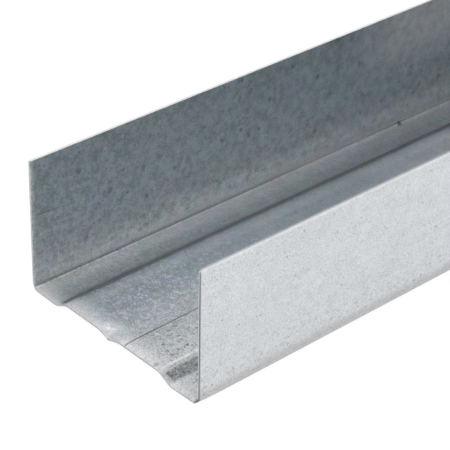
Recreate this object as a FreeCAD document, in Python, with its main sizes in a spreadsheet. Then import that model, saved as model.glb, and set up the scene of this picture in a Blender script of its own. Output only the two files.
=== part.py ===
"""Drywall track: one length of galvanised steel sheet, roll-formed into a U channel.

The track lies on its web with both flanges up. X runs across the web, Y along the length and Z up from the
floor, and the origin is on the floor under the middle of the web. Sizes are in millimetres.
"""
import FreeCAD, Part
import enum
import os
import Sketcher

NODE = "track"
SIZES = {
    # The stock: its length, the outside of its section and its sheet
    "stock_length": 3000.0,
    "web_width": 50.0,
    "flange_height": 30.0,
    "sheet_gauge": 0.55,
    # The right-angle bends between web and flanges, measured on the inside
    "corner_radius": 0.5,
    # The web's raised middle: a low strip beside each flange, then a slope up to the flat
    "strip_width": 7.7,
    "slope_run": 3.2,
    "flat_rise": 1.8,
    "slope_radius": 2.0,
    # The dimple that the shear left in the near end, a little off the middle
    "dimple_width": 6.4,
    "dimple_depth": 1.0,
    "dimple_reach": 2.2,
    "dimple_offset": 0.9,
}

NEAR = 1e-4


class Sketch(enum.IntEnum):
    """How a sketch numbers the ends of its lines and its own axes, which start at its origin."""

    START = 1
    END = 2
    ACROSS = -1
    UP = -2


START, END = Sketch.START, Sketch.END


def make_sheet(doc):
    """Puts each driving dimension in a cell of the spreadsheet under its own name."""
    sheet = doc.addObject("Spreadsheet::Sheet", "Sizes")
    for row, (name, value) in enumerate(SIZES.items(), start=1):
        sheet.set(f"A{row}", name)
        sheet.set(f"B{row}", str(value))
        sheet.setAlias(f"B{row}", name)
    doc.recompute()
    return sheet


def bend_lines(sheet):
    """Gives the bends' distances from the middle of the web: flange, foot of the slope, brow of the slope."""
    flange = sheet.web_width / 2
    foot = flange - sheet.strip_width
    brow = foot - sheet.slope_run
    return flange, foot, brow


def cross_sketch(body, name, distance="0", level="0"):
    """Adds a sketch across the track, at a distance from mid-length to the near end and at a level."""
    sketch = body.newObject("Sketcher::SketchObject", name)
    plane = next(feature for feature in body.Origin.OriginFeatures if feature.Role == "XZ_Plane")
    sketch.AttachmentSupport = [(plane, "")]
    sketch.MapMode = "FlatFace"
    sketch.setExpression("AttachmentOffset.Base.z", distance)
    sketch.setExpression("AttachmentOffset.Base.y", level)
    return sketch


def draw_outline(sketch, corners):
    """Draws straight lines from corner to corner and closes the outline."""
    starts = [FreeCAD.Vector(x, z, 0) for x, z in corners]
    ends = starts[1:] + starts[:1]
    lines = [sketch.addGeometry(Part.LineSegment(start, end)) for start, end in zip(starts, ends)]
    for line, following in zip(lines, lines[1:] + lines[:1]):
        sketch.addConstraint(Sketcher.Constraint("Coincident", line, END, following, START))
    return lines


def dimension(sketch, kind, where, size):
    """Adds a dimension to the sketch and binds it to the spreadsheet."""
    index = sketch.addConstraint(Sketcher.Constraint(kind, *where, SIZES[size]))
    sketch.setExpression(f"Constraints[{index}]", f"Sizes.{size}")


def draw_section(sketch, sheet):
    """Draws the outside of the section with sharp bends: flange, strip, slope, flat, and the same back up."""
    flange, foot, brow = bend_lines(sheet)
    right_half = [(brow, sheet.flat_rise), (foot, 0), (flange, 0), (flange, sheet.flange_height)]
    left_half = [(-x, z) for x, z in reversed(right_half)]
    lines = draw_outline(sketch, left_half + right_half)
    left_flange, left_strip, left_slope, _, right_slope, right_strip, right_flange, mouth = lines
    for line in (left_strip, mouth):
        sketch.addConstraint(Sketcher.Constraint("Horizontal", line))
    for line in (left_flange, right_flange):
        sketch.addConstraint(Sketcher.Constraint("Vertical", line))
    for left, right in ((left_flange, right_flange), (left_strip, right_strip), (left_slope, right_slope)):
        sketch.addConstraint(Sketcher.Constraint("Symmetric", left, END, right, START, Sketch.UP))
    sketch.addConstraint(Sketcher.Constraint("PointOnObject", left_strip, START, Sketch.ACROSS))
    dimension(sketch, "DistanceX", (left_strip, START, right_strip, END), "web_width")
    dimension(sketch, "DistanceY", (right_flange, START, right_flange, END), "flange_height")
    dimension(sketch, "DistanceX", (left_strip, START, left_strip, END), "strip_width")
    dimension(sketch, "DistanceX", (left_slope, START, left_slope, END), "slope_run")
    dimension(sketch, "DistanceY", (left_slope, START, left_slope, END), "flat_rise")


def extrude_section(body, section):
    """Extrudes the section to the stock length, half to each side of the origin."""
    stock = body.newObject("PartDesign::Pad", "Stock")
    stock.Profile = section
    stock.SideType = "Symmetric"
    stock.setExpression("Length", "Sizes.stock_length")
    body.Document.recompute()
    return stock


def round_bends(body, name, base, place, radius):
    """Rounds the two bends along the track that lie at a place: a distance from the middle and a height."""
    distance, height = place
    edges = []
    for number, edge in enumerate(base.Shape.Edges, start=1):
        middle = edge.CenterOfMass
        offsets = (middle.y, abs(middle.x) - distance, middle.z - height)
        if max(abs(offset) for offset in offsets) < NEAR:
            edges.append(f"Edge{number}")
    fillet = body.newObject("PartDesign::Fillet", name)
    fillet.Base = (base, edges)
    fillet.setExpression("Radius", radius)
    body.Document.recompute()
    return fillet


def hollow_to_sheet(body, base, top):
    """Hollows the block to sheet of one gauge, open at both cut ends and between the flanges' tops."""
    open_faces = []
    for number, face in enumerate(base.Shape.Faces, start=1):
        at_cut_end = abs(face.normalAt(0, 0).y) > 1 - NEAR
        at_mouth = face.CenterOfMass.z > top - NEAR
        if at_cut_end or at_mouth:
            open_faces.append(f"Face{number}")
    shell = body.newObject("PartDesign::Thickness", "Shell")
    shell.Base = (base, open_faces)
    shell.Reversed = True
    shell.setExpression("Value", "Sizes.sheet_gauge")
    body.Document.recompute()


def press_dimple(body, name, kind, level):
    """Lofts the dimple at one face of the sheet: a V across the near end that closes to a point inside."""
    middle = -SIZES["dimple_offset"]
    side = SIZES["dimple_width"] / 2
    mouth = cross_sketch(body, f"{name}Mouth", "Sizes.stock_length / 2", level)
    corners = [(middle - side, 0), (middle, -SIZES["dimple_depth"]), (middle + side, 0)]
    falling, rising, brim = draw_outline(mouth, corners)
    mouth.addConstraint(Sketcher.Constraint("PointOnObject", brim, START, Sketch.ACROSS))
    mouth.addConstraint(Sketcher.Constraint("PointOnObject", brim, END, Sketch.ACROSS))
    mouth.addConstraint(Sketcher.Constraint("Equal", falling, rising))
    dimension(mouth, "DistanceX", (falling, START, rising, END), "dimple_width")
    dimension(mouth, "DistanceY", (falling, END, falling, START), "dimple_depth")
    dimension(mouth, "DistanceX", (falling, END, Sketch.ACROSS, START), "dimple_offset")

    tip = cross_sketch(body, f"{name}Tip", "Sizes.stock_length / 2 - Sizes.dimple_reach", level)
    point = tip.addGeometry(Part.Point(FreeCAD.Vector(middle, 0, 0)))
    tip.addConstraint(Sketcher.Constraint("PointOnObject", point, START, Sketch.ACROSS))
    dimension(tip, "DistanceX", (point, START, Sketch.ACROSS, START), "dimple_offset")

    loft = body.newObject(f"PartDesign::{kind}Loft", name)
    loft.Profile = mouth
    loft.Sections = [(tip, "Vertex1")]
    loft.Ruled = True
    body.Document.recompute()


def build_track(doc):
    """Builds the track: a block of the outer section, its bends rounded, hollowed to sheet and dimpled."""
    sheet = make_sheet(doc)
    flange, foot, brow = bend_lines(sheet)
    body = doc.addObject("PartDesign::Body", "Track")
    body.Label = NODE
    body.Placement = FreeCAD.Placement()

    section = cross_sketch(body, "Section")
    draw_section(section, sheet)
    block = extrude_section(body, section)
    block = round_bends(body, "Corners", block, (flange, 0), "Sizes.corner_radius + Sizes.sheet_gauge")
    block = round_bends(body, "SlopeFeet", block, (foot, 0), "Sizes.slope_radius + Sizes.sheet_gauge")
    block = round_bends(body, "SlopeBrows", block, (brow, sheet.flat_rise), "Sizes.slope_radius")
    hollow_to_sheet(body, block, sheet.flange_height)

    # The same hollow is added under the sheet and cut from its top, so the gauge runs on through the dimple
    press_dimple(body, "DimpleUnder", "Additive", "Sizes.flat_rise")
    press_dimple(body, "DimpleOver", "Subtractive", "Sizes.flat_rise + Sizes.sheet_gauge")
    return body


def check(doc, body):
    """Stops the build if any object failed or the solid isn't one sound piece."""
    for item in doc.Objects:
        if "Invalid" in item.State or "Error" in item.State:
            raise RuntimeError(f"{item.Name} failed: {item.State}")
    shape = body.Shape
    if shape.isNull() or not shape.isValid() or len(shape.Solids) != 1:
        raise RuntimeError("the track isn't one valid solid")


document = FreeCAD.newDocument("DrywallTrack")
track = build_track(document)
check(document, track)
os.makedirs("parts", exist_ok=True)
track.Shape.exportStep(f"parts/{NODE}.step")
box = track.Shape.BoundBox
print(f"{NODE}: {box.XLength:.2f} x {box.YLength:.2f} x {box.ZLength:.2f} mm, {track.Shape.Volume:.0f} mm3")
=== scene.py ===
import math
import bmesh
import bpy
from mathutils import Matrix, Vector


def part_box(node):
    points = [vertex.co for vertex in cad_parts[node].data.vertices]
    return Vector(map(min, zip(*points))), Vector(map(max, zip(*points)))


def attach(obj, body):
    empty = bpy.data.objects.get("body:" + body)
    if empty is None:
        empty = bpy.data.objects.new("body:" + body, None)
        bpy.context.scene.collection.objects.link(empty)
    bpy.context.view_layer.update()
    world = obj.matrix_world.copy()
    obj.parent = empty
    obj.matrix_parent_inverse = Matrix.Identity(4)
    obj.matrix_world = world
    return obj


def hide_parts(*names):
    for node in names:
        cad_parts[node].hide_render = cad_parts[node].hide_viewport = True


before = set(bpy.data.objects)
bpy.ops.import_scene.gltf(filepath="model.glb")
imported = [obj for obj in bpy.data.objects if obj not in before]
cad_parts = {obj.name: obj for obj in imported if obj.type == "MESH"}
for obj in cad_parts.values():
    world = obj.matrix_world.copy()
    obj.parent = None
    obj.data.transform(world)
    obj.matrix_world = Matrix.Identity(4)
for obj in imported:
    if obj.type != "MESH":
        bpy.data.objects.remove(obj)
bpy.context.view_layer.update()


# The track is one strip of thin galvanised sheet, bent cold between rollers into a U: a raised flat between
# two slopes, a low strip beside each flange, and two plain flanges. It is drawn as the outer face of the
# sheet, bent along its length, then given the gauge of the sheet inwards.
def mm(length):
    """Gives a length in millimetres in metres."""
    return length / 1000


low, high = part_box("track")
near_end, far_end = low[1], high[1]
flange = (high[0] - low[0]) / 2
flange_height = high[2] - low[2]
gauge = mm(0.55)
strip_width = mm(7.7)
slope_run = mm(3.2)
flat_rise = mm(1.8)
corner_radius = mm(0.5)
slope_radius = mm(2.0)
foot = flange - strip_width
brow = foot - slope_run
slope_angle = math.atan2(flat_rise, slope_run)
hair = mm(0.01)

bpy.ops.object.select_all(action="DESELECT")
bpy.ops.mesh.primitive_plane_add(size=1, location=(0, (near_end + far_end) / 2, flat_rise))
track = bpy.context.object
track.name = "track_sheet"
bpy.ops.transform.resize(value=(2 * brow, far_end - near_end, 1))
bpy.ops.object.transform_apply(location=True, rotation=True, scale=True)


def pick_edges(piece, wanted):
    """Selects, in edit mode, the edges whose two ends both pass a test."""
    shape = bmesh.from_edit_mesh(piece.data)
    bpy.ops.mesh.select_all(action="DESELECT")
    for edge in shape.edges:
        edge.select_set(all(wanted(corner.co) for corner in edge.verts))
    bmesh.update_edit_mesh(piece.data)


def at(x, z):
    """Gives a test for points that lie at a distance across and a height."""
    return lambda point: abs(point.x - x) < hair and abs(point.z - z) < hair


bpy.ops.object.mode_set(mode="EDIT")
bpy.ops.mesh.select_mode(type="EDGE")
for side in (-1, 1):
    pick_edges(track, at(side * brow, flat_rise))
    for run in ((side * slope_run, 0, -flat_rise), (side * strip_width, 0, 0), (0, 0, flange_height)):
        bpy.ops.mesh.extrude_edges_move(TRANSFORM_OT_translate={"value": run})

# The bends, each with its place, radius, angle and number of facets. A radius is measured on the outer face,
# which is the inside of the bend at the slopes' brows.
bends = (
    (flange, 0, corner_radius + gauge, math.pi / 2, 8),
    (foot, 0, slope_radius + gauge, slope_angle, 6),
    (brow, flat_rise, slope_radius, slope_angle, 6),
)
for distance, level, radius, angle, facets in bends:
    for side in (-1, 1):
        pick_edges(track, at(side * distance, level))
        bpy.ops.mesh.bevel(offset=radius * math.tan(angle / 2), segments=facets, affect="EDGES")

# Cuts across and along: close together at the sheared ends, wide apart on the plain rest of the stock
dimple_middle = mm(-0.9)
dimple_half = mm(3.2)
dimple_depth = mm(1.0)
dimple_reach = mm(4)
dimple_steps = 8
beyond_dimple = 2
plain_steps = 100


def cut(position, normal):
    """Cuts all of the sheet's faces along a plane."""
    bpy.ops.mesh.select_all(action="SELECT")
    bpy.ops.mesh.bisect(plane_co=position, plane_no=normal)


for step in range(-dimple_steps - beyond_dimple, dimple_steps + beyond_dimple + 1):
    cut((dimple_middle + step * dimple_half / dimple_steps, 0, 0), (1, 0, 0))
for distance in (-12, -9, -7, 5, 7, 9, 12):
    cut((mm(distance), 0, 0), (1, 0, 0))
for level in (2, 3, 5, 10, 15, 20, 25, 29.4, 29.7):
    cut((0, 0, mm(level)), (0, 0, 1))
for distance in (0.15, 0.3, 0.5, 0.7, 0.9, 1.1, 1.3, 1.6, 1.9, 2.2, 3, 4, 5.5, 7, 10, 15):
    cut((0, near_end + mm(distance), 0), (0, 1, 0))
    cut((0, far_end - mm(distance), 0), (0, 1, 0))
for step in range(1, plain_steps):
    cut((0, near_end + (far_end - near_end) * step / plain_steps, 0), (0, 1, 0))
bpy.ops.object.mode_set(mode="OBJECT")

# The shear pressed a V into the flat at the near end, which fades out a few millimetres in, drew the rest of
# the flat's edge down a little and crushed the two corners. It cut the right flange back, most at its foot,
# and broke its top corner. At both ends it dragged the sheet's inner face over, deepest on the web.
dimple_bow = 0.3
crush_depth = mm(0.3)
crush_size = mm(1.3)
crush_reach = mm(7)
sag_depth = mm(0.2)
sag_reach = mm(4)
cut_back_foot, cut_back_top = mm(0.55), mm(0.2)
cut_back_lean = (cut_back_top - cut_back_foot) / flange_height
cut_back_reach = mm(3)
broken_corner = mm(0.6)
broken_depth = 0.7 * broken_corner
drag_reach = mm(1.7)
drag_on_web, drag_on_flange = 0.35, 0.25
web_top = flat_rise + mm(0.1)
full_gauge = track.vertex_groups.new(name="share_of_gauge")
for corner in track.data.vertices:
    x, y, z = corner.co
    from_near = y - near_end
    on_web = z < web_top
    if on_web:
        aside = min(1, abs(x - dimple_middle) / dimple_half)
        press = max(0, 1 - from_near / dimple_reach) ** 2
        corner.co.z -= dimple_depth * (1 - aside) * (1 - dimple_bow * aside) * press
        if abs(x) < foot:
            corner.co.z -= sag_depth * z / flat_rise * max(0, 1 - from_near / sag_reach) ** 2
    from_corner = math.hypot(abs(x) - flange, z) / crush_size
    crush = crush_depth * math.exp(-from_corner ** 2) * max(0, 1 - from_near / crush_reach) ** 2
    corner.co.z += crush
    if x < 0:
        corner.co.x += crush
    elif x > flange - corner_radius - gauge:
        taken = (cut_back_foot + cut_back_lean * z) * min(1, z / (corner_radius + gauge))
        broken = max(0, z - flange_height + broken_corner) / broken_corner
        taken += broken_depth * broken ** 2
        corner.co.y += taken * max(0, 1 - from_near / cut_back_reach)
    from_end = min(from_near, far_end - y)
    drag = drag_on_web if on_web else drag_on_flange
    full_gauge.add([corner.index], 1 - drag * max(0, 1 - from_end / drag_reach) ** 2, "REPLACE")

burr_width = mm(0.05)
sharp_angle, smooth_angle = math.radians(55), math.radians(35)
solid = track.modifiers.new("gauge", "SOLIDIFY")
solid.thickness = gauge
solid.offset = 1
solid.use_even_offset = True
solid.vertex_group = full_gauge.name
burr = track.modifiers.new("sheared_edges", "BEVEL")
burr.width = burr_width
burr.segments = 2
burr.limit_method = "ANGLE"
burr.angle_limit = sharp_angle
for modifier in ("gauge", "sheared_edges"):
    bpy.ops.object.modifier_apply(modifier=modifier)
bpy.ops.object.shade_smooth_by_angle(angle=smooth_angle)

# The sheet is laid out flat for the bake in four lengths side by side, the outer face of each beside its
# inner face. The cut rims lie round them, four times as deep as they are. The faces also learn which side of
# the sheet they are on, and the rims that their metal is bare.
lengths = 4
length = (far_end - near_end) / lengths
half_width = flange + flange_height + mm(3)
outer_middle, inner_middle, column = half_width, 3 * half_width, 4 * half_width
rim_room = mm(12)
rim_stretch = 4
flange_start, web_end, unrolled_from = flange - mm(1.2), mm(3), mm(20)
facing_along = 0.6
layout = track.data.uv_layers.new(name="OFBake")
inner_face = track.data.attributes.new("inner_face", "FLOAT", "FACE")
for face in track.data.polygons:
    middle, normal = face.center, face.normal
    number = min(int((middle.y - near_end) / length), lengths - 1)
    outward = normal.x * math.copysign(1, middle.x) if abs(middle.x) > flange_start else 0
    outward -= normal.z if middle.z < web_end else 0
    inner_face.data[face.index].value = 0 if outward > 0 else 1
    at_cut = abs(normal.y) > facing_along
    at_top = middle.z > flange_height - hair
    if at_cut or at_top:
        face.material_index = 1
    centre = number * column + (outer_middle if outward > 0 else inner_middle)
    for loop in face.loop_indices:
        x, y, z = track.data.vertices[track.data.loops[loop].vertex_index].co
        depth = rim_stretch * min(flange - abs(x), z)
        spread = abs(x) + (z if abs(x) > unrolled_from else 0)
        along = rim_room + y - near_end - number * length
        if at_cut:
            along += math.copysign(depth, normal.y)
        elif at_top:
            spread += depth
        u = (centre + math.copysign(spread, x)) / (lengths * column)
        layout.data[loop].uv = u, along / (length + 2 * rim_room)


# Hot-dip galvanised steel: the zinc sets to a dull light grey, finely grained and cloudy, and the rollers
# leave faint streaks along it. Handling leaves small dark specks and a few scores.
def linear(code):
    """Turns an sRGB hex colour into linear red, green, blue and alpha."""
    parts = [int(code[start:start + 2], 16) / 255 for start in (1, 3, 5)]
    return [part / 12.92 if part <= 0.04045 else ((part + 0.055) / 1.055) ** 2.4 for part in parts] + [1]


def add_node(tree, kind, inputs=None, **settings):
    """Adds a node with its settings, and sets its inputs or links them to sockets or nodes' first outputs."""
    made = tree.nodes.new(kind)
    for name, value in settings.items():
        setattr(made, name, value)
    for key, value in (inputs or {}).items():
        if isinstance(value, bpy.types.Node):
            value = next(socket for socket in value.outputs if socket.enabled)
        if isinstance(value, bpy.types.NodeSocket):
            tree.links.new(value, made.inputs[key])
        else:
            made.inputs[key].default_value = value
    return made


def off_line(tree, value, line):
    """Gives how far a value lies from a line, on either side of it."""
    apart = add_node(tree, "ShaderNodeMath", {0: value, 1: line}, operation="SUBTRACT")
    return add_node(tree, "ShaderNodeMath", {0: apart}, operation="ABSOLUTE")


zinc = bpy.data.materials.new("galvanised_zinc")
zinc.use_nodes = True
tree = zinc.node_tree
place = add_node(tree, "ShaderNodeTexCoord").outputs["Object"]
axes = add_node(tree, "ShaderNodeSeparateXYZ", {"Vector": place}).outputs
inward = add_node(tree, "ShaderNodeMath", {0: axes["Y"], 1: near_end}, operation="SUBTRACT")
across = add_node(tree, "ShaderNodeMath", {0: axes["X"]}, operation="ABSOLUTE")
inner = add_node(tree, "ShaderNodeAttribute", attribute_name="inner_face").outputs["Fac"]
outer = add_node(tree, "ShaderNodeMath", {0: 1, 1: inner}, operation="SUBTRACT")
on_flange = add_node(tree, "ShaderNodeMath", {0: axes["Z"], 1: web_end}, operation="GREATER_THAN")
inner_flange = add_node(tree, "ShaderNodeMath", {0: on_flange, 1: inner}, operation="MULTIPLY")

# Grain of a third of a millimetre, mottling, blotches, clouds, and streaks forty times as long as they are
# wide. The inner face, which the rollers worked, is mottled and more strongly grained: on the web most of all
# near the cut and to the right.
noise_middle = 0.5
plain_grain, plain_shade = 1.35, 0.16
fine_grain = mm(0.7)
drawing_out = 1 / 40
worked = {"Value": axes["X"], "From Min": mm(-9), "From Max": mm(9), "To Min": 1.3, "To Max": 2.8}
worked = add_node(tree, "ShaderNodeMapRange", worked, interpolation_type="SMOOTHSTEP")
beaten = {"Value": inward, "From Min": mm(12), "From Max": mm(40), "To Min": 0.78, "To Max": 0.35}
beaten = add_node(tree, "ShaderNodeMapRange", beaten, interpolation_type="SMOOTHSTEP")
rolled = {"Value": inward, "From Min": mm(10), "From Max": mm(100), "To Min": 1.3, "To Max": 0.3}
rolled = add_node(tree, "ShaderNodeMapRange", rolled)
rolled = add_node(tree, "ShaderNodeMath", {0: rolled, 1: on_flange}, operation="MULTIPLY")
beaten = add_node(tree, "ShaderNodeMath", {0: beaten, 1: rolled}, operation="MAXIMUM")
beaten = add_node(tree, "ShaderNodeMath", {0: beaten, 1: inner}, operation="MULTIPLY")
worked = add_node(tree, "ShaderNodeMath", {0: worked, 1: beaten, 2: plain_grain}, operation="MULTIPLY_ADD")
grain = add_node(tree, "ShaderNodeTexNoise", {"Vector": place, "Scale": 1 / mm(0.33), "Detail": 2})
ragged = {0: grain.outputs["Color"], 1: [fine_grain] * 3, 2: place}
ragged = add_node(tree, "ShaderNodeVectorMath", ragged, operation="MULTIPLY_ADD")
mottle = add_node(tree, "ShaderNodeTexNoise", {"Vector": place, "Scale": 1 / mm(1.0), "Detail": 3})
blotches = add_node(tree, "ShaderNodeTexNoise", {"Vector": place, "Scale": 1 / mm(2.2), "Detail": 2})
clouds = add_node(tree, "ShaderNodeTexNoise", {"Vector": place, "Scale": 1 / mm(7), "Detail": 3})
drawn_out = add_node(tree, "ShaderNodeMapping", {"Vector": place, "Scale": (1, drawing_out, 1)})
streaks = add_node(tree, "ShaderNodeTexNoise", {"Vector": drawn_out, "Scale": 1 / mm(1.3), "Detail": 2})
grained = add_node(tree, "ShaderNodeMath", {0: grain, 1: noise_middle}, operation="SUBTRACT")
shade = add_node(tree, "ShaderNodeMath", {0: grained, 1: worked, 2: plain_shade}, operation="MULTIPLY_ADD")
uneven = add_node(tree, "ShaderNodeMath", {0: mottle, 1: noise_middle}, operation="SUBTRACT")
mottled = add_node(tree, "ShaderNodeMath", {0: uneven, 1: beaten}, operation="MULTIPLY")
drifted = add_node(tree, "ShaderNodeMath", {0: blotches, 1: noise_middle}, operation="SUBTRACT")
drifted = add_node(tree, "ShaderNodeMath", {0: drifted, 1: inner_flange}, operation="MULTIPLY")
for patch, share in ((mottled, 2.1), (drifted, 1.4), (blotches, 0.3), (clouds, 0.3), (streaks, 0.23)):
    shade = add_node(tree, "ShaderNodeMath", {0: patch, 1: share, 2: shade}, operation="MULTIPLY_ADD")
shade.use_clamp = True
zinc_shades = {"Factor": shade, "A": linear("#abb1b6"), "B": linear("#e4e6e8")}
zinc_colour = add_node(tree, "ShaderNodeMix", zinc_shades, data_type="RGBA")

# A thin cool film with faint tints on the inner face, thickest on the left and high on the flanges. Painted
# shade greys the inner face from five centimetres inwards, deeper in the channel, less on the flanges. The
# film has a trace of violet on the left half of the flat.
tint_share = 0.17
greying_lost = -0.6
film = {"Value": axes["X"], "From Min": mm(-18), "From Max": mm(10), "To Min": 1, "To Max": 0.25}
film = add_node(tree, "ShaderNodeMapRange", film)
film = add_node(tree, "ShaderNodeMath", {0: film, 1: inner}, operation="MULTIPLY")
tints = add_node(tree, "ShaderNodeTexNoise", {"Vector": place, "Scale": 1 / mm(4), "Detail": 2})
tinted = add_node(tree, "ShaderNodeMath", {0: film, 1: tint_share}, operation="MULTIPLY")
filmed = {"Factor": tinted, "A": zinc_colour, "B": tints.outputs["Color"]}
zinc_colour = add_node(tree, "ShaderNodeMix", filmed, data_type="RGBA")
thick = {"Value": axes["Z"], "From Min": mm(1), "From Max": mm(16), "To Min": 0.22, "To Max": 1}
thick = add_node(tree, "ShaderNodeMapRange", thick)
thick = add_node(tree, "ShaderNodeMath", {0: thick, 1: film}, operation="MULTIPLY")
film_shades = {"Factor": thick, "A": linear("#f9f7f6"), "B": linear("#d9eef3")}
film_colour = add_node(tree, "ShaderNodeMix", film_shades, data_type="RGBA")
greying = {0: inner_flange, 1: greying_lost, 2: inner}
greying = add_node(tree, "ShaderNodeMath", greying, operation="MULTIPLY_ADD")
# Painted shade, further in from the open near end
painted_deep_shade = {"Value": inward, "From Min": mm(50), "From Max": mm(110), "To Max": greying}
painted_deep_shade = add_node(tree, "ShaderNodeMapRange", painted_deep_shade)
tinge = {"Value": axes["X"], "From Min": mm(3), "From Max": mm(-6), "To Max": inner}
tinge = add_node(tree, "ShaderNodeMapRange", tinge)
tinge = {"Value": axes["X"], "From Min": mm(-15), "From Max": mm(-13), "To Max": tinge}
tinge = add_node(tree, "ShaderNodeMapRange", tinge)

# Painted shade on the outside of the two folds, at the foot of each flange: a dull warm grey
fold_shade_share = 0.66
folded = {"Value": axes["Z"], "From Min": mm(3.6), "From Max": mm(1.7)}
folded = add_node(tree, "ShaderNodeMapRange", folded, interpolation_type="SMOOTHSTEP")
folded = add_node(tree, "ShaderNodeMath", {0: folded, 1: outer}, operation="MULTIPLY")
painted_fold_foot_shade = add_node(tree, "ShaderNodeMath", {0: folded, 1: fold_shade_share}, operation="MULTIPLY")
grey, violet, warm_grey = linear("#f0f0f0"), linear("#faf9ff"), linear("#dfdad7")
for amount, tone in ((inner, film_colour), (painted_deep_shade, grey), (tinge, violet), (painted_fold_foot_shade, warm_grey)):
    toned = {"Factor": amount, "A": zinc_colour, "B": tone}
    zinc_colour = add_node(tree, "ShaderNodeMix", toned, data_type="RGBA", blend_type="MULTIPLY")

# Soft specks up to 0.9 mm in radius, in drifts inside the flanges and fainter just above the folds, and small
# dots all over. Each cell of a pattern has one of them, or none where its radius comes out below zero.
speck_cell, speck_spread, speck_least = mm(2.4), 0.7, -0.31
dot_cell, dot_spread, dot_least = mm(1.6), 0.5, -0.3
dot_depth, dot_depth_inside = 0.6, 0.35
faint_band = mm(5.4)
speckled = add_node(tree, "ShaderNodeTexVoronoi", {"Vector": ragged, "Scale": 1 / speck_cell})
speck_chance = add_node(tree, "ShaderNodeTexWhiteNoise", {"Vector": speckled.outputs["Color"]})
speck = {0: speck_chance, 1: speck_spread, 2: speck_least}
speck = add_node(tree, "ShaderNodeMath", speck, operation="MULTIPLY_ADD")
speck = add_node(tree, "ShaderNodeMath", {0: speck, 1: speckled.outputs["Distance"]}, operation="SUBTRACT")
speck = add_node(tree, "ShaderNodeMath", {0: speck, 1: inner_flange}, operation="MULTIPLY")
fewer = {"Value": inward, "From Min": mm(40), "From Max": mm(90), "To Min": 1, "To Max": 0.5}
fewer = add_node(tree, "ShaderNodeMapRange", fewer)
drifts = {"Value": clouds, "From Min": 0.4, "From Max": 0.6, "To Min": 0.3, "To Max": fewer}
drifts = add_node(tree, "ShaderNodeMapRange", drifts)
fainter = off_line(tree, axes["Z"], faint_band)
fainter = {"Value": fainter, "From Min": mm(0.5), "From Max": mm(2.6), "To Min": 0.3, "To Max": 1}
fainter = add_node(tree, "ShaderNodeMapRange", fainter, interpolation_type="SMOOTHSTEP")
drifts = add_node(tree, "ShaderNodeMath", {0: drifts, 1: fainter}, operation="MULTIPLY")
specks = {"Value": speck, "From Min": 0, "From Max": 0.11, "To Max": drifts}
specks = add_node(tree, "ShaderNodeMapRange", specks, interpolation_type="SMOOTHSTEP")
dotted = add_node(tree, "ShaderNodeTexVoronoi", {"Vector": ragged, "Scale": 1 / dot_cell})
dot_chance = add_node(tree, "ShaderNodeTexWhiteNoise", {"Vector": dotted.outputs["Color"]})
dot = {0: dot_chance, 1: dot_spread, 2: dot_least}
dot = add_node(tree, "ShaderNodeMath", dot, operation="MULTIPLY_ADD")
dot = add_node(tree, "ShaderNodeMath", {0: dot, 1: dotted.outputs["Distance"]}, operation="SUBTRACT")
dark = {0: inner_flange, 1: dot_depth_inside, 2: dot_depth}
dark = add_node(tree, "ShaderNodeMath", dark, operation="MULTIPLY_ADD")
dots = {"Value": dot, "From Min": 0, "From Max": 0.08, "To Max": dark}
dots = add_node(tree, "ShaderNodeMapRange", dots, interpolation_type="SMOOTHSTEP")

# Dark flecks, drawn out along the track, where the zinc is worn: in patches over the right half of the web,
# most along a streak near the flat's right edge, and low on the right flange. Pinholes all over.
worn_line = mm(11.9)
worn_inside, worn_lost_outside = 0.9, -0.35
pit_cell, pit_spread, pit_least = mm(0.65), 0.6, -0.1
fleck_drawing = 0.75
worn = {"Value": axes["X"], "From Min": mm(-2), "From Max": mm(9)}
worn = add_node(tree, "ShaderNodeMapRange", worn, interpolation_type="SMOOTHSTEP")
patchy = {"Value": tints, "From Min": 0.4, "From Max": 0.6, "To Min": 0.36, "To Max": 0.76}
patchy = add_node(tree, "ShaderNodeMapRange", patchy)
patchy = {"Value": axes["Z"], "From Min": mm(2.5), "From Max": mm(3), "To Min": patchy, "To Max": 0.62}
patchy = add_node(tree, "ShaderNodeMapRange", patchy)
worn_low = {"Value": axes["Z"], "From Min": mm(2.5), "From Max": mm(11), "To Min": patchy, "To Max": 0.04}
worn_low = add_node(tree, "ShaderNodeMapRange", worn_low)
worn = add_node(tree, "ShaderNodeMath", {0: worn, 1: worn_low}, operation="MULTIPLY")
worn_streak = off_line(tree, axes["X"], worn_line)
worn_streak = {"Value": worn_streak, "From Min": mm(1.6), "From Max": mm(0.4), "To Max": 0.42}
worn_streak = add_node(tree, "ShaderNodeMapRange", worn_streak, interpolation_type="SMOOTHSTEP")
worn = add_node(tree, "ShaderNodeMath", {0: worn, 1: worn_streak}, operation="ADD")
unfolded = add_node(tree, "ShaderNodeMath", {0: 1, 1: folded}, operation="SUBTRACT")
paler = {0: outer, 1: worn_lost_outside, 2: worn_inside}
paler = add_node(tree, "ShaderNodeMath", paler, operation="MULTIPLY_ADD")
for limit in (unfolded, paler):
    worn = add_node(tree, "ShaderNodeMath", {0: worn, 1: limit}, operation="MULTIPLY")
drawn_flecks = add_node(tree, "ShaderNodeMapping", {"Vector": ragged, "Scale": (1, fleck_drawing, 1)})
pitted = add_node(tree, "ShaderNodeTexVoronoi", {"Vector": drawn_flecks, "Scale": 1 / pit_cell})
pit_chance = add_node(tree, "ShaderNodeTexWhiteNoise", {"Vector": pitted.outputs["Color"]})
pit = {0: pit_chance, 1: pit_spread, 2: pit_least}
pit = add_node(tree, "ShaderNodeMath", pit, operation="MULTIPLY_ADD")
pit = add_node(tree, "ShaderNodeMath", {0: pit, 1: pitted.outputs["Distance"]}, operation="SUBTRACT")
flecks = {"Value": pit, "From Min": -0.18, "From Max": 0.17, "To Max": worn}
flecks = add_node(tree, "ShaderNodeMapRange", flecks, interpolation_type="SMOOTHSTEP")
pinholes = {"Value": pit, "From Min": 0.06, "From Max": 0.2, "To Max": 0.18}
pinholes = add_node(tree, "ShaderNodeMapRange", pinholes, interpolation_type="SMOOTHSTEP")
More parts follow.
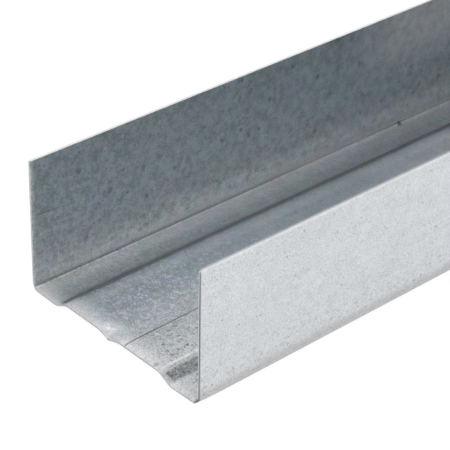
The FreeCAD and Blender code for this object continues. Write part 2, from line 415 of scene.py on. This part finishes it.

# Painted shade on the slopes: soft on the left, and on the right a grainy band with frayed edges, which
# starts at a slant about a millimetre behind the cut
left_shade_line = mm(-15.6)
left_shade_depth = 0.33
fraying = mm(1.2)
start_slant = -0.23
# The left slope's painted shade
left_slope_shade = off_line(tree, axes["X"], left_shade_line)
left_slope_shade = {"Value": left_slope_shade, "From Min": mm(1.6), "From Max": mm(0.3)}
left_slope_shade = add_node(tree, "ShaderNodeMapRange", left_slope_shade, interpolation_type="SMOOTHSTEP")
painted_left_shade = add_node(tree, "ShaderNodeMath", {0: left_slope_shade, 1: left_shade_depth}, operation="MULTIPLY")
# The right slope's grainy band of painted shade
band_line = {"Value": inward, "From Min": mm(3), "From Max": mm(8), "To Min": mm(16.15), "To Max": mm(15.85)}
band_line = add_node(tree, "ShaderNodeMapRange", band_line)
beyond = add_node(tree, "ShaderNodeMath", {0: axes["X"], 1: band_line}, operation="SUBTRACT")
frayed = add_node(tree, "ShaderNodeMath", {0: beyond}, operation="ABSOLUTE")
frayed = add_node(tree, "ShaderNodeMath", {0: mottle, 1: fraying, 2: frayed}, operation="MULTIPLY_ADD")
band = {"Value": frayed, "From Min": mm(1.68), "From Max": mm(1.48)}
band = add_node(tree, "ShaderNodeMapRange", band, interpolation_type="SMOOTHSTEP")
start = add_node(tree, "ShaderNodeMath", {0: beyond, 1: start_slant, 2: inward}, operation="MULTIPLY_ADD")
band = {"Value": start, "From Min": mm(0.9), "From Max": mm(1.05), "To Max": band}
band = add_node(tree, "ShaderNodeMapRange", band, interpolation_type="SMOOTHSTEP")
grainy = {"Value": grain, "From Min": 0.6, "From Max": 0.4, "To Min": 0.05, "To Max": 0.43}
grainy = add_node(tree, "ShaderNodeMapRange", grainy)
painted_right_shade = add_node(tree, "ShaderNodeMath", {0: band, 1: grainy}, operation="MULTIPLY")

# Painted shade inside each fold: a dark line that fades out inwards, with the highlight on its lower side
# dimmed, and one small dark dent in the left fold
fold_shade_line = mm(0.95)
dent_place = (mm(0.7) - flange, near_end + mm(106), mm(0.65))
in_corner = {"Value": across, "From Min": flange - mm(0.75), "From Max": flange - mm(0.6), "To Max": inner}
in_corner = add_node(tree, "ShaderNodeMapRange", in_corner)
fold_shade_depth = {"Value": inward, "From Min": mm(50), "From Max": mm(80), "To Min": 0.14, "To Max": 0}
fold_shade_depth = add_node(tree, "ShaderNodeMapRange", fold_shade_depth)
fold_shade_depth = add_node(tree, "ShaderNodeMath", {0: in_corner, 1: fold_shade_depth}, operation="MULTIPLY")
painted_fold_shade = off_line(tree, axes["Z"], fold_shade_line)
painted_fold_shade = {"Value": painted_fold_shade, "From Min": mm(0.7), "From Max": mm(0.25), "To Max": fold_shade_depth}
painted_fold_shade = add_node(tree, "ShaderNodeMapRange", painted_fold_shade, interpolation_type="SMOOTHSTEP")
in_arc = {"Value": across, "From Min": flange - mm(1), "From Max": flange - mm(0.8), "To Max": inner}
in_arc = add_node(tree, "ShaderNodeMapRange", in_arc)
fold_dimming = {"Value": inward, "From Min": mm(10), "From Max": mm(80), "To Min": 0.1, "To Max": 0.34}
fold_dimming = add_node(tree, "ShaderNodeMapRange", fold_dimming)
fold_dimming = add_node(tree, "ShaderNodeMath", {0: in_arc, 1: fold_dimming}, operation="MULTIPLY")
painted_fold_dimming = {"Value": axes["Z"], "From Min": mm(1.1), "From Max": mm(0.85), "To Max": fold_dimming}
painted_fold_dimming = add_node(tree, "ShaderNodeMapRange", painted_fold_dimming, interpolation_type="SMOOTHSTEP")
dent = add_node(tree, "ShaderNodeVectorMath", {0: place, 1: dent_place}, operation="DISTANCE")
dent = {"Value": dent, "From Min": mm(1.2), "From Max": mm(0.1), "To Max": inner}
dent = add_node(tree, "ShaderNodeMapRange", dent, interpolation_type="SMOOTHSTEP")

# A long fine score on the flat, at a slight slant, that fades out inwards, and a short one inside
# the left flange
score_line, score_slant = mm(3.92), 0.009
scratch_line, scratch_slant = mm(17.5), 0.0565
score = add_node(tree, "ShaderNodeMath", {0: inward, 1: score_slant, 2: axes["X"]}, operation="MULTIPLY_ADD")
score = off_line(tree, score, score_line)
fading = {"Value": inward, "From Max": mm(60), "To Min": 0.8, "To Max": 0}
fading = add_node(tree, "ShaderNodeMapRange", fading)
score = {"Value": score, "From Min": mm(0.3), "From Max": mm(0.08), "To Max": fading}
score = add_node(tree, "ShaderNodeMapRange", score, interpolation_type="SMOOTHSTEP")
on_left = add_node(tree, "ShaderNodeMath", {0: axes["X"], 1: 0}, operation="LESS_THAN")
on_left = add_node(tree, "ShaderNodeMath", {0: on_left, 1: inner}, operation="MULTIPLY")
stretch = {"Value": inward, "From Min": mm(1), "From Max": mm(2), "To Max": 0.9}
stretch = add_node(tree, "ShaderNodeMapRange", stretch)
stretch = add_node(tree, "ShaderNodeMath", {0: stretch, 1: on_left}, operation="MULTIPLY")
stretch = {"Value": inward, "From Min": mm(8.5), "From Max": mm(5), "To Max": stretch}
stretch = add_node(tree, "ShaderNodeMapRange", stretch, interpolation_type="SMOOTHSTEP")
scratch = {0: inward, 1: scratch_slant, 2: axes["Z"]}
scratch = add_node(tree, "ShaderNodeMath", scratch, operation="MULTIPLY_ADD")
scratch = off_line(tree, scratch, scratch_line)
scratch = {"Value": scratch, "From Min": mm(0.25), "From Max": mm(0.05), "To Max": stretch}
scratch = add_node(tree, "ShaderNodeMapRange", scratch, interpolation_type="SMOOTHSTEP")

# A line of painted shade along the right flange's cut on its outer face, and a dark smudge beside the cut,
# next to the right slope's brow
outer_skin = flange - mm(0.1)
smudge_place = (mm(12.5), near_end + mm(0.75), mm(2.15))
cut_back = {0: axes["Z"], 1: cut_back_lean, 2: cut_back_foot}
cut_back = add_node(tree, "ShaderNodeMath", cut_back, operation="MULTIPLY_ADD")
off_cut = add_node(tree, "ShaderNodeMath", {0: inward, 1: cut_back}, operation="SUBTRACT")
cut_shade_line = {"Value": off_cut, "From Min": mm(0.35), "From Max": mm(0.1), "To Max": 0.6}
cut_shade_line = add_node(tree, "ShaderNodeMapRange", cut_shade_line, interpolation_type="SMOOTHSTEP")
outside = add_node(tree, "ShaderNodeMath", {0: axes["X"], 1: outer_skin}, operation="GREATER_THAN")
cut_shade_line = add_node(tree, "ShaderNodeMath", {0: cut_shade_line, 1: outside}, operation="MULTIPLY")
smudge = add_node(tree, "ShaderNodeVectorMath", {0: place, 1: smudge_place}, operation="DISTANCE")
smudge = {"Value": smudge, "From Min": mm(0.9), "From Max": mm(0.3), "To Max": 0.7}
smudge = add_node(tree, "ShaderNodeMapRange", smudge, interpolation_type="SMOOTHSTEP")

# Real dark marks and the painted shade of slopes, folds and the right cut all darken towards one grey
dark_marks = (dots, flecks, pinholes, painted_left_shade, painted_right_shade, painted_fold_shade, painted_fold_dimming, dent, score, scratch)
marks = specks
for mark in (*dark_marks, cut_shade_line, smudge):
    marks = add_node(tree, "ShaderNodeMath", {0: marks, 1: mark}, operation="MAXIMUM")
marked_shades = {"Factor": marks, "A": zinc_colour, "B": linear("#5a5f64")}
zinc_colour = add_node(tree, "ShaderNodeMix", marked_shades, data_type="RGBA")

# Light dots, most near the cut, and flakes on the left half of the flat
flaked_line = mm(-7)
flake_grain = 0.7
light_dots = {"Value": inward, "From Min": mm(30), "From Max": mm(70), "To Min": 0.8, "To Max": 0.1}
light_dots = add_node(tree, "ShaderNodeMapRange", light_dots)
light_dots = {"Value": dot_chance, "From Min": 0.4, "From Max": 0.1, "To Max": light_dots}
light_dots = add_node(tree, "ShaderNodeMapRange", light_dots)
light_dots = {"Value": dotted.outputs["Distance"], "From Min": 0.26, "From Max": 0.1, "To Max": light_dots}
light_dots = add_node(tree, "ShaderNodeMapRange", light_dots, interpolation_type="SMOOTHSTEP")
flaked = {"Value": inward, "From Min": mm(45), "From Max": mm(20), "To Max": 0.5}
flaked = add_node(tree, "ShaderNodeMapRange", flaked)
off_flakes = off_line(tree, axes["X"], flaked_line)
flaked = {"Value": off_flakes, "From Min": mm(9), "From Max": mm(5), "To Max": flaked}
flaked = add_node(tree, "ShaderNodeMapRange", flaked)
flakes = add_node(tree, "ShaderNodeMath", {0: grained, 1: flake_grain, 2: mottle}, operation="MULTIPLY_ADD")
flakes = {"Value": flakes, "From Min": 0.53, "From Max": 0.7, "To Max": flaked}
flakes = add_node(tree, "ShaderNodeMapRange", flakes, interpolation_type="SMOOTHSTEP")

# Painted highlights: the left slope's foot, both slopes' brows, and the outer half of each strip with the
# flange beside it, but not the fold between them, there strongest near the cut and on the left
strip_highlight_line, foot_line, brow_line, left_brow_line = mm(22.7), mm(-17.1), mm(14.5), mm(-11.7)
bright = {"Value": axes["X"], "From Min": mm(-20), "From Max": mm(20), "To Min": 0.46, "To Max": 0.24}
bright = add_node(tree, "ShaderNodeMapRange", bright)
bright = {"Value": inward, "From Min": mm(30), "From Max": mm(100), "To Min": bright, "To Max": 0.15}
bright = add_node(tree, "ShaderNodeMapRange", bright)
painted_strip_highlight = off_line(tree, across, strip_highlight_line)
painted_strip_highlight = {"Value": painted_strip_highlight, "From Min": mm(4), "From Max": mm(0.4), "To Max": bright}
painted_strip_highlight = add_node(tree, "ShaderNodeMapRange", painted_strip_highlight, interpolation_type="SMOOTHSTEP")
in_bend = {"Value": axes["Z"], "From Min": mm(1.8), "From Max": mm(1.2), "To Max": in_arc}
in_bend = add_node(tree, "ShaderNodeMapRange", in_bend, interpolation_type="SMOOTHSTEP")
off_bend = add_node(tree, "ShaderNodeMath", {0: 1, 1: in_bend}, operation="SUBTRACT")
for limit in (off_bend, fainter):
    painted_strip_highlight = add_node(tree, "ShaderNodeMath", {0: painted_strip_highlight, 1: limit}, operation="MULTIPLY")
painted_foot_highlight = off_line(tree, axes["X"], foot_line)
painted_foot_highlight = {"Value": painted_foot_highlight, "From Min": mm(0.9), "From Max": mm(0.3), "To Max": 0.6}
painted_foot_highlight = add_node(tree, "ShaderNodeMapRange", painted_foot_highlight, interpolation_type="SMOOTHSTEP")
painted_brow_highlight = off_line(tree, axes["X"], brow_line)
painted_brow_highlight = {"Value": painted_brow_highlight, "From Min": mm(0.8), "From Max": mm(0.35), "To Max": 0.8}
painted_brow_highlight = add_node(tree, "ShaderNodeMapRange", painted_brow_highlight, interpolation_type="SMOOTHSTEP")
painted_left_brow_highlight = off_line(tree, axes["X"], left_brow_line)
painted_left_brow_highlight = {"Value": painted_left_brow_highlight, "From Min": mm(2.2), "From Max": mm(0.6), "To Max": 0.25}
painted_left_brow_highlight = add_node(tree, "ShaderNodeMapRange", painted_left_brow_highlight, interpolation_type="SMOOTHSTEP")

# Painted highlights: a patch of light high inside the flanges some way in, the inside of the folds where
# their painted shade has faded out, and the outside of the top edges
light_patch_line = mm(125)
edge_start = flange_height - mm(0.8)
top_highlight_share = 0.5
painted_light_patch = off_line(tree, inward, light_patch_line)
painted_light_patch = {"Value": painted_light_patch, "From Min": mm(50), "From Max": mm(10)}
painted_light_patch = add_node(tree, "ShaderNodeMapRange", painted_light_patch, interpolation_type="SMOOTHSTEP")
painted_light_patch = {"Value": axes["Z"], "From Min": mm(9), "From Max": mm(27), "To Max": painted_light_patch}
painted_light_patch = add_node(tree, "ShaderNodeMapRange", painted_light_patch, interpolation_type="SMOOTHSTEP")
painted_fold_highlight = {"Value": inward, "From Min": mm(60), "From Max": mm(80), "To Max": 0.3}
painted_fold_highlight = add_node(tree, "ShaderNodeMapRange", painted_fold_highlight)
painted_fold_highlight = {"Value": axes["Z"], "From Min": mm(2.4), "From Max": mm(1.4), "To Max": painted_fold_highlight}
painted_fold_highlight = add_node(tree, "ShaderNodeMapRange", painted_fold_highlight, interpolation_type="SMOOTHSTEP")
painted_fold_highlight = add_node(tree, "ShaderNodeMath", {0: painted_fold_highlight, 1: in_corner}, operation="MULTIPLY")
undented = add_node(tree, "ShaderNodeMath", {0: 1, 1: dent}, operation="SUBTRACT")
painted_top_highlight = {"Value": axes["Z"], "From Min": edge_start, "From Max": flange_height, "To Max": outer}
painted_top_highlight = add_node(tree, "ShaderNodeMapRange", painted_top_highlight)
painted_top_highlight = add_node(tree, "ShaderNodeMath", {0: painted_top_highlight, 1: top_highlight_share}, operation="MULTIPLY")

# The zinc's own light dots and flakes, together with the painted highlights, lighten it
gleam = light_dots
for light_mark in (flakes, painted_strip_highlight, painted_foot_highlight, painted_brow_highlight, painted_left_brow_highlight, painted_light_patch, painted_fold_highlight):
    gleam = add_node(tree, "ShaderNodeMath", {0: gleam, 1: light_mark}, operation="MAXIMUM")
for limit in (inner, undented):
    gleam = add_node(tree, "ShaderNodeMath", {0: gleam, 1: limit}, operation="MULTIPLY")
gleam = add_node(tree, "ShaderNodeMath", {0: gleam, 1: painted_top_highlight}, operation="MAXIMUM")
gleam_shades = {"Factor": shade, "A": linear("#dcdfe1"), "B": linear("#ffffff")}
gleam_colour = add_node(tree, "ShaderNodeMix", gleam_shades, data_type="RGBA")
gleaming = {"Factor": gleam, "A": zinc_colour, "B": gleam_colour}
zinc_colour = add_node(tree, "ShaderNodeMix", gleaming, data_type="RGBA")

# Whitish matt zinc along the near cut, scuffed by the blade and with a painted highlight where the edge bends
# down:
# some four millimetres of the web, but not the folds or the marks and painted shade there, and one millimetre
# of the left flange
scuff_unevenness = mm(6.5)
scuff_and_sheen = {0: uneven, 1: scuff_unevenness, 2: inward}
scuff_and_sheen = add_node(tree, "ShaderNodeMath", scuff_and_sheen, operation="MULTIPLY_ADD")
scuff_and_sheen = {"Value": scuff_and_sheen, "From Min": mm(4.6), "From Max": 0, "To Max": 0.9}
scuff_and_sheen = add_node(tree, "ShaderNodeMapRange", scuff_and_sheen)
off_fold = {"Value": across, "From Min": flange - mm(0.8), "From Max": flange - mm(1.3), "To Max": scuff_and_sheen}
scuff_and_sheen = add_node(tree, "ShaderNodeMapRange", off_fold)
spare_at_left_shade = {"Value": inward, "From Min": 0, "From Max": mm(1), "To Min": 0, "To Max": left_slope_shade}
spared = add_node(tree, "ShaderNodeMapRange", spare_at_left_shade)
for mark in (score, band, smudge):
    spared = add_node(tree, "ShaderNodeMath", {0: spared, 1: mark}, operation="MAXIMUM")
unspared = add_node(tree, "ShaderNodeMath", {0: 1, 1: spared}, operation="SUBTRACT")
for limit in (unspared, inner):
    scuff_and_sheen = add_node(tree, "ShaderNodeMath", {0: scuff_and_sheen, 1: limit}, operation="MULTIPLY")
beside_cut = {"Value": inward, "From Min": mm(1), "From Max": 0, "To Max": 0.45}
beside_cut = add_node(tree, "ShaderNodeMapRange", beside_cut)
above_fold = {"Value": axes["Z"], "From Min": mm(1.5), "From Max": mm(3), "To Max": beside_cut}
above_fold = add_node(tree, "ShaderNodeMapRange", above_fold)
above_fold = add_node(tree, "ShaderNodeMath", {0: above_fold, 1: on_left}, operation="MULTIPLY")
scuff_and_sheen = add_node(tree, "ShaderNodeMath", {0: scuff_and_sheen, 1: above_fold}, operation="MAXIMUM")
# The scuff and its painted highlight share one whitish colour
scuff_and_sheen_shades = {"Factor": shade, "A": linear("#dedee4"), "B": linear("#ffffff")}
scuff_and_sheen_colour = add_node(tree, "ShaderNodeMix", scuff_and_sheen_shades, data_type="RGBA")
web_shades = {"Factor": scuff_and_sheen, "A": zinc_colour, "B": scuff_and_sheen_colour}
zinc_colour = add_node(tree, "ShaderNodeMix", web_shades, data_type="RGBA")
metallic = add_node(tree, "ShaderNodeMath", {0: 1, 1: scuff_and_sheen}, operation="SUBTRACT")

# Shallow bumps from the blotches and the grain, and a roughness that drifts with the clouds
blotch_relief = 2
zinc_relief = mm(0.025)
relief = add_node(tree, "ShaderNodeMath", {0: blotches, 1: blotch_relief, 2: grain}, operation="MULTIPLY_ADD")
bumps = add_node(tree, "ShaderNodeBump", {"Height": relief, "Strength": 1, "Distance": zinc_relief})
roughness = {"Value": clouds, "From Min": 0.3, "From Max": 0.7, "To Min": 0.31, "To Max": 0.41}
roughness = add_node(tree, "ShaderNodeMapRange", roughness)
zinc_surface = tree.nodes["Principled BSDF"]
tree.links.new(zinc_colour.outputs["Result"], zinc_surface.inputs["Base Color"])
tree.links.new(metallic.outputs["Value"], zinc_surface.inputs["Metallic"])
tree.links.new(roughness.outputs["Result"], zinc_surface.inputs["Roughness"])
tree.links.new(bumps.outputs["Normal"], zinc_surface.inputs["Normal"])
track.data.materials.append(zinc)

# Sheared steel, where the sheet was cut: light, and matt white on the left as a painted highlight, most of
# all along the flange's top; duller on the web; and dark grey on the outer half of the right flange, painted
# shade at the cut
sheared = bpy.data.materials.new("sheared_steel")
sheared.use_nodes = True
tree = sheared.node_tree
top_rim = flange_height - mm(0.1)
corner_start, corner_full = flange - mm(1), flange - mm(0.6)
burr_start, burr_full = flange - mm(1.1), flange - mm(0.7)
matt_end, metal_start = mm(0.7) - flange, mm(1.2) - flange
tear_size, tear_relief = mm(0.3), mm(0.02)
place = add_node(tree, "ShaderNodeTexCoord").outputs["Object"]
axes = add_node(tree, "ShaderNodeSeparateXYZ", {"Vector": place}).outputs
across = add_node(tree, "ShaderNodeMath", {0: axes["X"]}, operation="ABSOLUTE")
below_top = {"Value": axes["Z"], "From Min": top_rim, "From Max": flange_height - mm(0.6)}
below_top = add_node(tree, "ShaderNodeMapRange", below_top)
# Painted shade on the outer half of the right flange's cut, below its top
dark_rim = {"Value": axes["X"], "From Min": flange - mm(0.35), "From Max": flange - mm(0.15), "To Max": below_top}
dark_rim = add_node(tree, "ShaderNodeMapRange", dark_rim)
torn_web = {"Value": across, "From Min": corner_start, "From Max": corner_full, "To Min": 0.45, "To Max": 0}
torn_web = add_node(tree, "ShaderNodeMapRange", torn_web)
burr_corner = {"Value": axes["Z"], "From Min": mm(1.5), "From Max": mm(1.1), "To Max": 0.85}
burr_corner = add_node(tree, "ShaderNodeMapRange", burr_corner)
burr_corner = {"Value": axes["X"], "From Min": burr_start, "From Max": burr_full, "To Max": burr_corner}
burr_corner = add_node(tree, "ShaderNodeMapRange", burr_corner)
on_top = add_node(tree, "ShaderNodeMath", {0: axes["Z"], 1: top_rim}, operation="GREATER_THAN")
dull_top = {"Value": axes["X"], "From Min": 0, "From Max": flange, "To Max": 0.2}
dull_top = add_node(tree, "ShaderNodeMapRange", dull_top)
dull_top = add_node(tree, "ShaderNodeMath", {0: on_top, 1: dull_top}, operation="MULTIPLY")
for tear in (torn_web, burr_corner, dull_top):
    dark_rim = add_node(tree, "ShaderNodeMath", {0: dark_rim, 1: tear}, operation="MAXIMUM")
tears = add_node(tree, "ShaderNodeTexNoise", {"Vector": place, "Scale": 1 / tear_size, "Detail": 2})
rim_shades = {"Factor": tears, "A": linear("#d4d7d9"), "B": linear("#fafafa")}
rim_colour = add_node(tree, "ShaderNodeMix", rim_shades, data_type="RGBA")
# A painted white highlight along the left flange's top rim
painted_top_glint = add_node(tree, "ShaderNodeMath", {0: axes["X"], 1: 0}, operation="LESS_THAN")
painted_top_glint = add_node(tree, "ShaderNodeMath", {0: painted_top_glint, 1: on_top}, operation="MULTIPLY")
glint_shades = {"Factor": painted_top_glint, "A": rim_colour, "B": linear("#ffffff")}
rim_colour = add_node(tree, "ShaderNodeMix", glint_shades, data_type="RGBA")
dark_rim_shades = {"Factor": dark_rim, "A": rim_colour, "B": linear("#686c70")}
dark_rim_colour = add_node(tree, "ShaderNodeMix", dark_rim_shades, data_type="RGBA")
# The left flange's rims are matt, so their light colour stands as a painted highlight
matt_left = {"Value": axes["X"], "From Min": matt_end, "From Max": metal_start, "To Min": 0.1, "To Max": 1}
matt_left = add_node(tree, "ShaderNodeMapRange", matt_left)
rough_tears = {"Value": tears, "From Min": 0.3, "From Max": 0.7, "To Min": 0.4, "To Max": 0.6}
rough_tears = add_node(tree, "ShaderNodeMapRange", rough_tears)
burrs = add_node(tree, "ShaderNodeBump", {"Height": tears, "Strength": 1, "Distance": tear_relief})
sheared_surface = tree.nodes["Principled BSDF"]
tree.links.new(matt_left.outputs["Result"], sheared_surface.inputs["Metallic"])
tree.links.new(rough_tears.outputs["Result"], sheared_surface.inputs["Roughness"])
tree.links.new(burrs.outputs["Normal"], sheared_surface.inputs["Normal"])
tree.links.new(dark_rim_colour.outputs["Result"], sheared_surface.inputs["Base Color"])
track.data.materials.append(sheared)

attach(track, "root")
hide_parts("track")


# The floor is a wide board painted matt white, which the track lies on. The camera and reflections see it
# glow white, while it lights the track only as a mid grey would.
floor_size = 40
floor_level = mm(-0.05)
floor_glow = 0.85
bpy.ops.object.select_all(action="DESELECT")
bpy.ops.mesh.primitive_plane_add(size=floor_size, location=(0, 0, floor_level))
floor = bpy.context.object
floor.name = "floor"
white_paint = bpy.data.materials.new("white_floor")
white_paint.use_nodes = True
paint_tree = white_paint.node_tree
rays = add_node(paint_tree, "ShaderNodeLightPath").outputs
seen = rays["Is Camera Ray"]
for kind in ("Is Glossy Ray", "Is Transmission Ray"):
    seen = add_node(paint_tree, "ShaderNodeMath", {0: seen, 1: rays[kind]}, operation="MAXIMUM")
glow = add_node(paint_tree, "ShaderNodeMath", {0: seen, 1: floor_glow}, operation="MULTIPLY")
paint = paint_tree.nodes["Principled BSDF"]
paint.inputs["Base Color"].default_value = linear("#959595")
paint.inputs["Roughness"].default_value = 0.9
paint.inputs["Specular IOR Level"].default_value = 0
paint.inputs["Emission Color"].default_value = linear("#ffffff")
paint_tree.links.new(glow.outputs["Value"], paint.inputs["Emission Strength"])
floor.data.materials.append(white_paint)


# The studio is a room with pale walls: bright low down all round, darker overhead. Five broad lamps stand far
# enough off to light the whole length alike: a low one on the right, one overhead on the left, two behind and
# one in front on the left.
studio = bpy.data.worlds.new("studio")
bpy.context.scene.world = studio
studio.use_nodes = True
sky_tree = studio.node_tree
way = add_node(sky_tree, "ShaderNodeTexCoord").outputs["Generated"]
height = add_node(sky_tree, "ShaderNodeSeparateXYZ", {"Vector": way}).outputs["Z"]
sky = {"Value": height, "From Min": 0.1, "From Max": 0.4, "To Min": 0.8, "To Max": 0.12}
sky = add_node(sky_tree, "ShaderNodeMapRange", sky, interpolation_type="SMOOTHSTEP")
walls = sky_tree.nodes["Background"]
walls.inputs["Color"].default_value = linear("#ffffff")
sky_tree.links.new(sky.outputs["Result"], walls.inputs["Strength"])

# Each lamp's bearing and height in degrees, and its radiance
lamps = (
    ("right", 0, 20, 1.6),
    ("back_right", 45, 50, 0.97),
    ("back_left", 135, 50, 0.87),
    ("overhead_left", 180, 66, 0.97),
    ("front", 262, 40, 2.0),
)
lamp_spread = math.radians(21.9)
for name, bearing, rise, radiance in lamps:
    light = bpy.data.lights.new(name, "SUN")
    light.angle = 2 * lamp_spread
    light.energy = radiance * math.pi * math.sin(lamp_spread) ** 2
    lamp = bpy.data.objects.new(name, light)
    bpy.context.scene.collection.objects.link(lamp)
    aim = Matrix.Rotation(math.radians(bearing), 3, "Z") @ Matrix.Rotation(-math.radians(rise), 3, "Y")
    towards = aim @ Vector((1, 0, 0))
    lamp.rotation_euler = (-towards).to_track_quat("-Z", "Y").to_euler()


# The camera stands to the right of the near end and looks down into the channel along it. Its focal length
# and its stand are those that fit the track's edges, in a square picture.
photo_side = 450
focal_pixels = 1865
azimuth, elevation, roll = (math.radians(angle) for angle in (47.13, 32.30, 1.63))
lens = bpy.data.cameras.new("camera")
lens.sensor_width = 36
lens.lens = lens.sensor_width * focal_pixels / photo_side
camera = bpy.data.objects.new("camera", lens)
bpy.context.scene.collection.objects.link(camera)
stand = Matrix.Translation((mm(227.87), near_end + mm(-182.54), mm(212.3)))
look = Matrix.Rotation(azimuth, 4, "Z") @ Matrix.Rotation(math.pi / 2 - elevation, 4, "X")
camera.matrix_world = stand @ look @ Matrix.Rotation(roll, 4, "Z")
bpy.context.scene.camera = camera
bpy.context.scene.view_settings.view_transform = "Standard"
